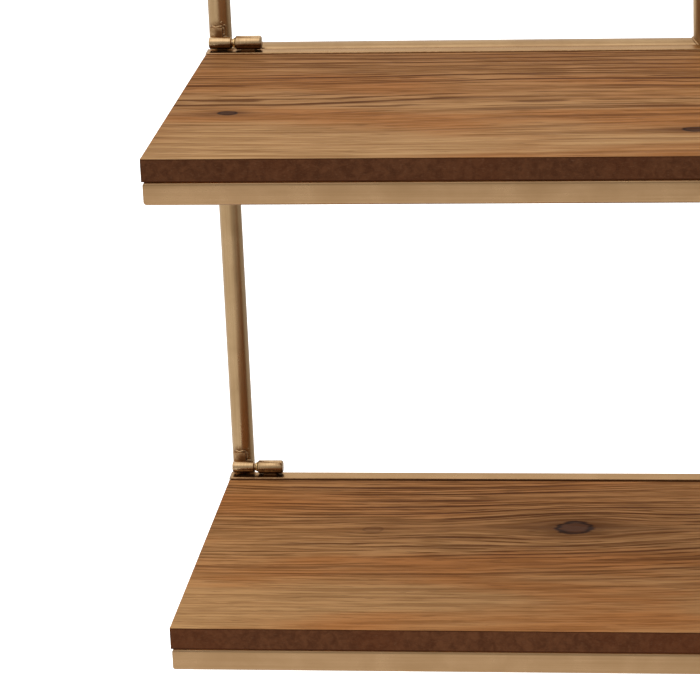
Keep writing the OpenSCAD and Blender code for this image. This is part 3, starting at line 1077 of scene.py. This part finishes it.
# Each knot: centre, half size along and across the grain, its pull on the grain, its strength.
knots_on = {
    "upper": [
        ((-0.2705, -0.1680, 0.0), (0.0062, 0.0046, 1.0), 0.75, 1.0),
        ((-0.0010, -0.2095, 0.0), (0.0095, 0.0050, 1.0), 0.70, 0.95),
        ((0.1760, -0.0900, 0.0), (0.0060, 0.0060, 1.0), 0.70, 0.8),
    ],
    "lower": [
        ((-0.0795, -0.1085, 0.0), (0.0125, 0.0105, 1.0), 0.80, 1.0),
        ((-0.2030, -0.1130, 0.0), (0.0065, 0.0050, 1.0), 0.45, 0.22),
        ((0.1900, -0.1900, 0.0), (0.0080, 0.0075, 1.0), 0.70, 0.85),
    ],
}
knots_under = {
    "upper": [((0.1100, -0.1500, 0.0), (0.0080, 0.0080, 1.0), 0.70, 0.8)],
    "lower": [((-0.1650, -0.0950, 0.0), (0.0095, 0.0075, 1.0), 0.75, 0.9)],
}
grain_start = {"upper": (0.31, 0.12, 0.0), "lower": (1.73, 0.58, 0.4)}
# The lower board's tones are lighter than the upper's: painted light, making up for the shade the upper
# shelf casts on it.
timber_tones = {
    "upper": {"pale": (0.435, 0.246, 0.106), "mid": (0.352, 0.166, 0.060), "eye": (0.044, 0.014, 0.004)},
    "lower": {"pale": (0.490, 0.272, 0.112), "mid": (0.445, 0.208, 0.073), "eye": (0.092, 0.034, 0.014)},
}
deep_share = (0.56, 0.46, 0.36)
under_deep = (0.18, 0.070, 0.020)
# The lower core's larger lift is painted light, making up for the shade the upper shelf casts on it.
core_tone = {"upper": 1.14, "lower": 1.34}
face_edge, core_edge = 0.00022, 0.00025
for tier in ("upper", "lower"):
    low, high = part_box(f"{tier}_top_face")
    tones = timber_tones[tier]
    tone = core_tone[tier]
    top_timber = timber_face(
        f"{tier}_top_timber",
        knots_on[tier],
        grain_start[tier],
        low.y,
        high.y,
        deep=tuple(level * share for level, share in zip(tones["mid"], deep_share)),
        **tones,
    )
    finish_solid(f"{tier}_top_face", top_timber)
    deburr(f"{tier}_top_face", face_edge)
    under_timber = timber_face(
        f"{tier}_under_timber",
        knots_under[tier],
        tuple(3.1 + v for v in grain_start[tier]),
        low.y - 0.3,
        high.y,
        deep=under_deep,
        **tones,
    )
    finish_solid(f"{tier}_bottom_face", under_timber)
    core_brown = fibreboard_edge(
        f"{tier}_core_brown",
        dark=(0.058 * tone, 0.0185 * tone, 0.0065 * tone),
        light=(0.100 * tone, 0.036 * tone, 0.014 * tone),
        ruddy=(0.075 * tone, 0.020 * tone, 0.006 * tone),
        chip=(0.150, 0.078, 0.042),
    )
    finish_solid(f"{tier}_board_core", core_brown)
    deburr(f"{tier}_board_core", core_edge)

# ---------------------------------------------------------------------------
# Studio
# A pale floor well below the shelf, greyed towards +X by painted shade, a pale room all round,
# and one large soft light that hangs above and in front.
# ---------------------------------------------------------------------------
floor_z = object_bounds()[0].z - 0.9
floor_half = 14.0
floor_mesh = bpy.data.meshes.new("studio_floor")
floor_mesh.from_pydata(
    [(x * floor_half, y * floor_half, floor_z) for x, y in ((-1, -1), (1, -1), (1, 1), (-1, 1))],
    [],
    [(0, 1, 2, 3)],
)
floor = bpy.data.objects.new("studio_floor", floor_mesh)
bpy.context.scene.collection.objects.link(floor)
floor_paint, bench, place = blank_material("floor_paint")
scuffs = bench.spread(bench.clouds(place, 3.0, 3.0, 0.5), 0.3, 0.7, 0.0, 0.05)
# The floor's paint greys off towards +X: painted shade, standing for the light falling off on the
# studio's right.
painted_floor_shade = bench.spread(bench.axis(place, "X"), -0.6, 2.2)
paint = bench.blend(painted_floor_shade, (0.93, 0.93, 0.93), (0.40, 0.39, 0.38))
straight = bench.put("ShaderNodeLightPath").outputs["Is Camera Ray"]
bench.shade(
    {
        "Base Color": bench.blend(scuffs, paint, (0.8, 0.8, 0.8)),
        "Roughness": 0.8,
        "Emission Color": (1.0, 1.0, 1.0, 1.0),
        "Emission Strength": bench.spread(straight, 0.0, 1.0, 0.06, 0.75),
        "Specular IOR Level": 0.1,
    }
)
floor_mesh.materials.append(floor_paint)

room = bpy.data.worlds.new("pale_room")
room.use_nodes = True
room.node_tree.nodes.clear()
bench = Bench(room.node_tree)
direction = bench.put("ShaderNodeTexCoord").outputs["Generated"]
facing = bench.vector("DOT_PRODUCT", direction, (-0.42, 0.25, 0.87))
sky = bench.blend(bench.spread(facing, -0.1, 0.95), (0.44, 0.44, 0.44), (1.36, 1.35, 1.33))
straight = bench.put("ShaderNodeLightPath").outputs["Is Camera Ray"]
sky = bench.blend(straight, sky, (0.93, 0.93, 0.93))
backdrop = bench.put("ShaderNodeBackground", {"Color": sky})
bench.put("ShaderNodeOutputWorld", {"Surface": backdrop.outputs[0]})
bpy.context.scene.world = room

softbox_data = bpy.data.lights.new("overhead_softbox", "AREA")
softbox_data.shape = "RECTANGLE"
softbox_data.size, softbox_data.size_y = 2.8, 1.9
softbox_data.energy = 11.0
softbox = bpy.data.objects.new("overhead_softbox", softbox_data)
bpy.context.scene.collection.objects.link(softbox)
softbox_at, softbox_aim = Vector((-0.5, -1.5, 2.3)), Vector((0.0, -0.1, -0.1))
softbox.location = softbox_at
softbox.rotation_mode = "QUATERNION"
softbox.rotation_quaternion = (softbox_aim - softbox_at).to_track_quat("-Z", "Y")

camera_data = bpy.data.cameras.new("camera")
camera_data.sensor_width = 36.0
camera_data.lens = 168.8
camera_data.shift_x = -0.1
camera_data.clip_start = 0.05
camera_data.clip_end = 60.0
camera = bpy.data.objects.new("camera", camera_data)
bpy.context.scene.collection.objects.link(camera)
camera.location = (0.02736, -1.9686, 0.51156)
pitch, yaw, roll = math.radians(19.224), math.radians(6.082), math.radians(-2.025)
forward = Vector(
    (-math.sin(yaw) * math.cos(pitch), math.cos(yaw) * math.cos(pitch), -math.sin(pitch))
)
level = Vector((math.cos(yaw), math.sin(yaw), 0.0))
above = level.cross(forward)
turned_right = level * math.cos(roll) + above * math.sin(roll)
turned_up = above * math.cos(roll) - level * math.sin(roll)
camera.rotation_mode = "QUATERNION"
turn_to_world = Matrix((turned_right, turned_up, -forward)).transposed()
camera.rotation_quaternion = turn_to_world.to_quaternion()
bpy.context.scene.camera = camera
bpy.context.scene.view_settings.view_transform = "Standard"
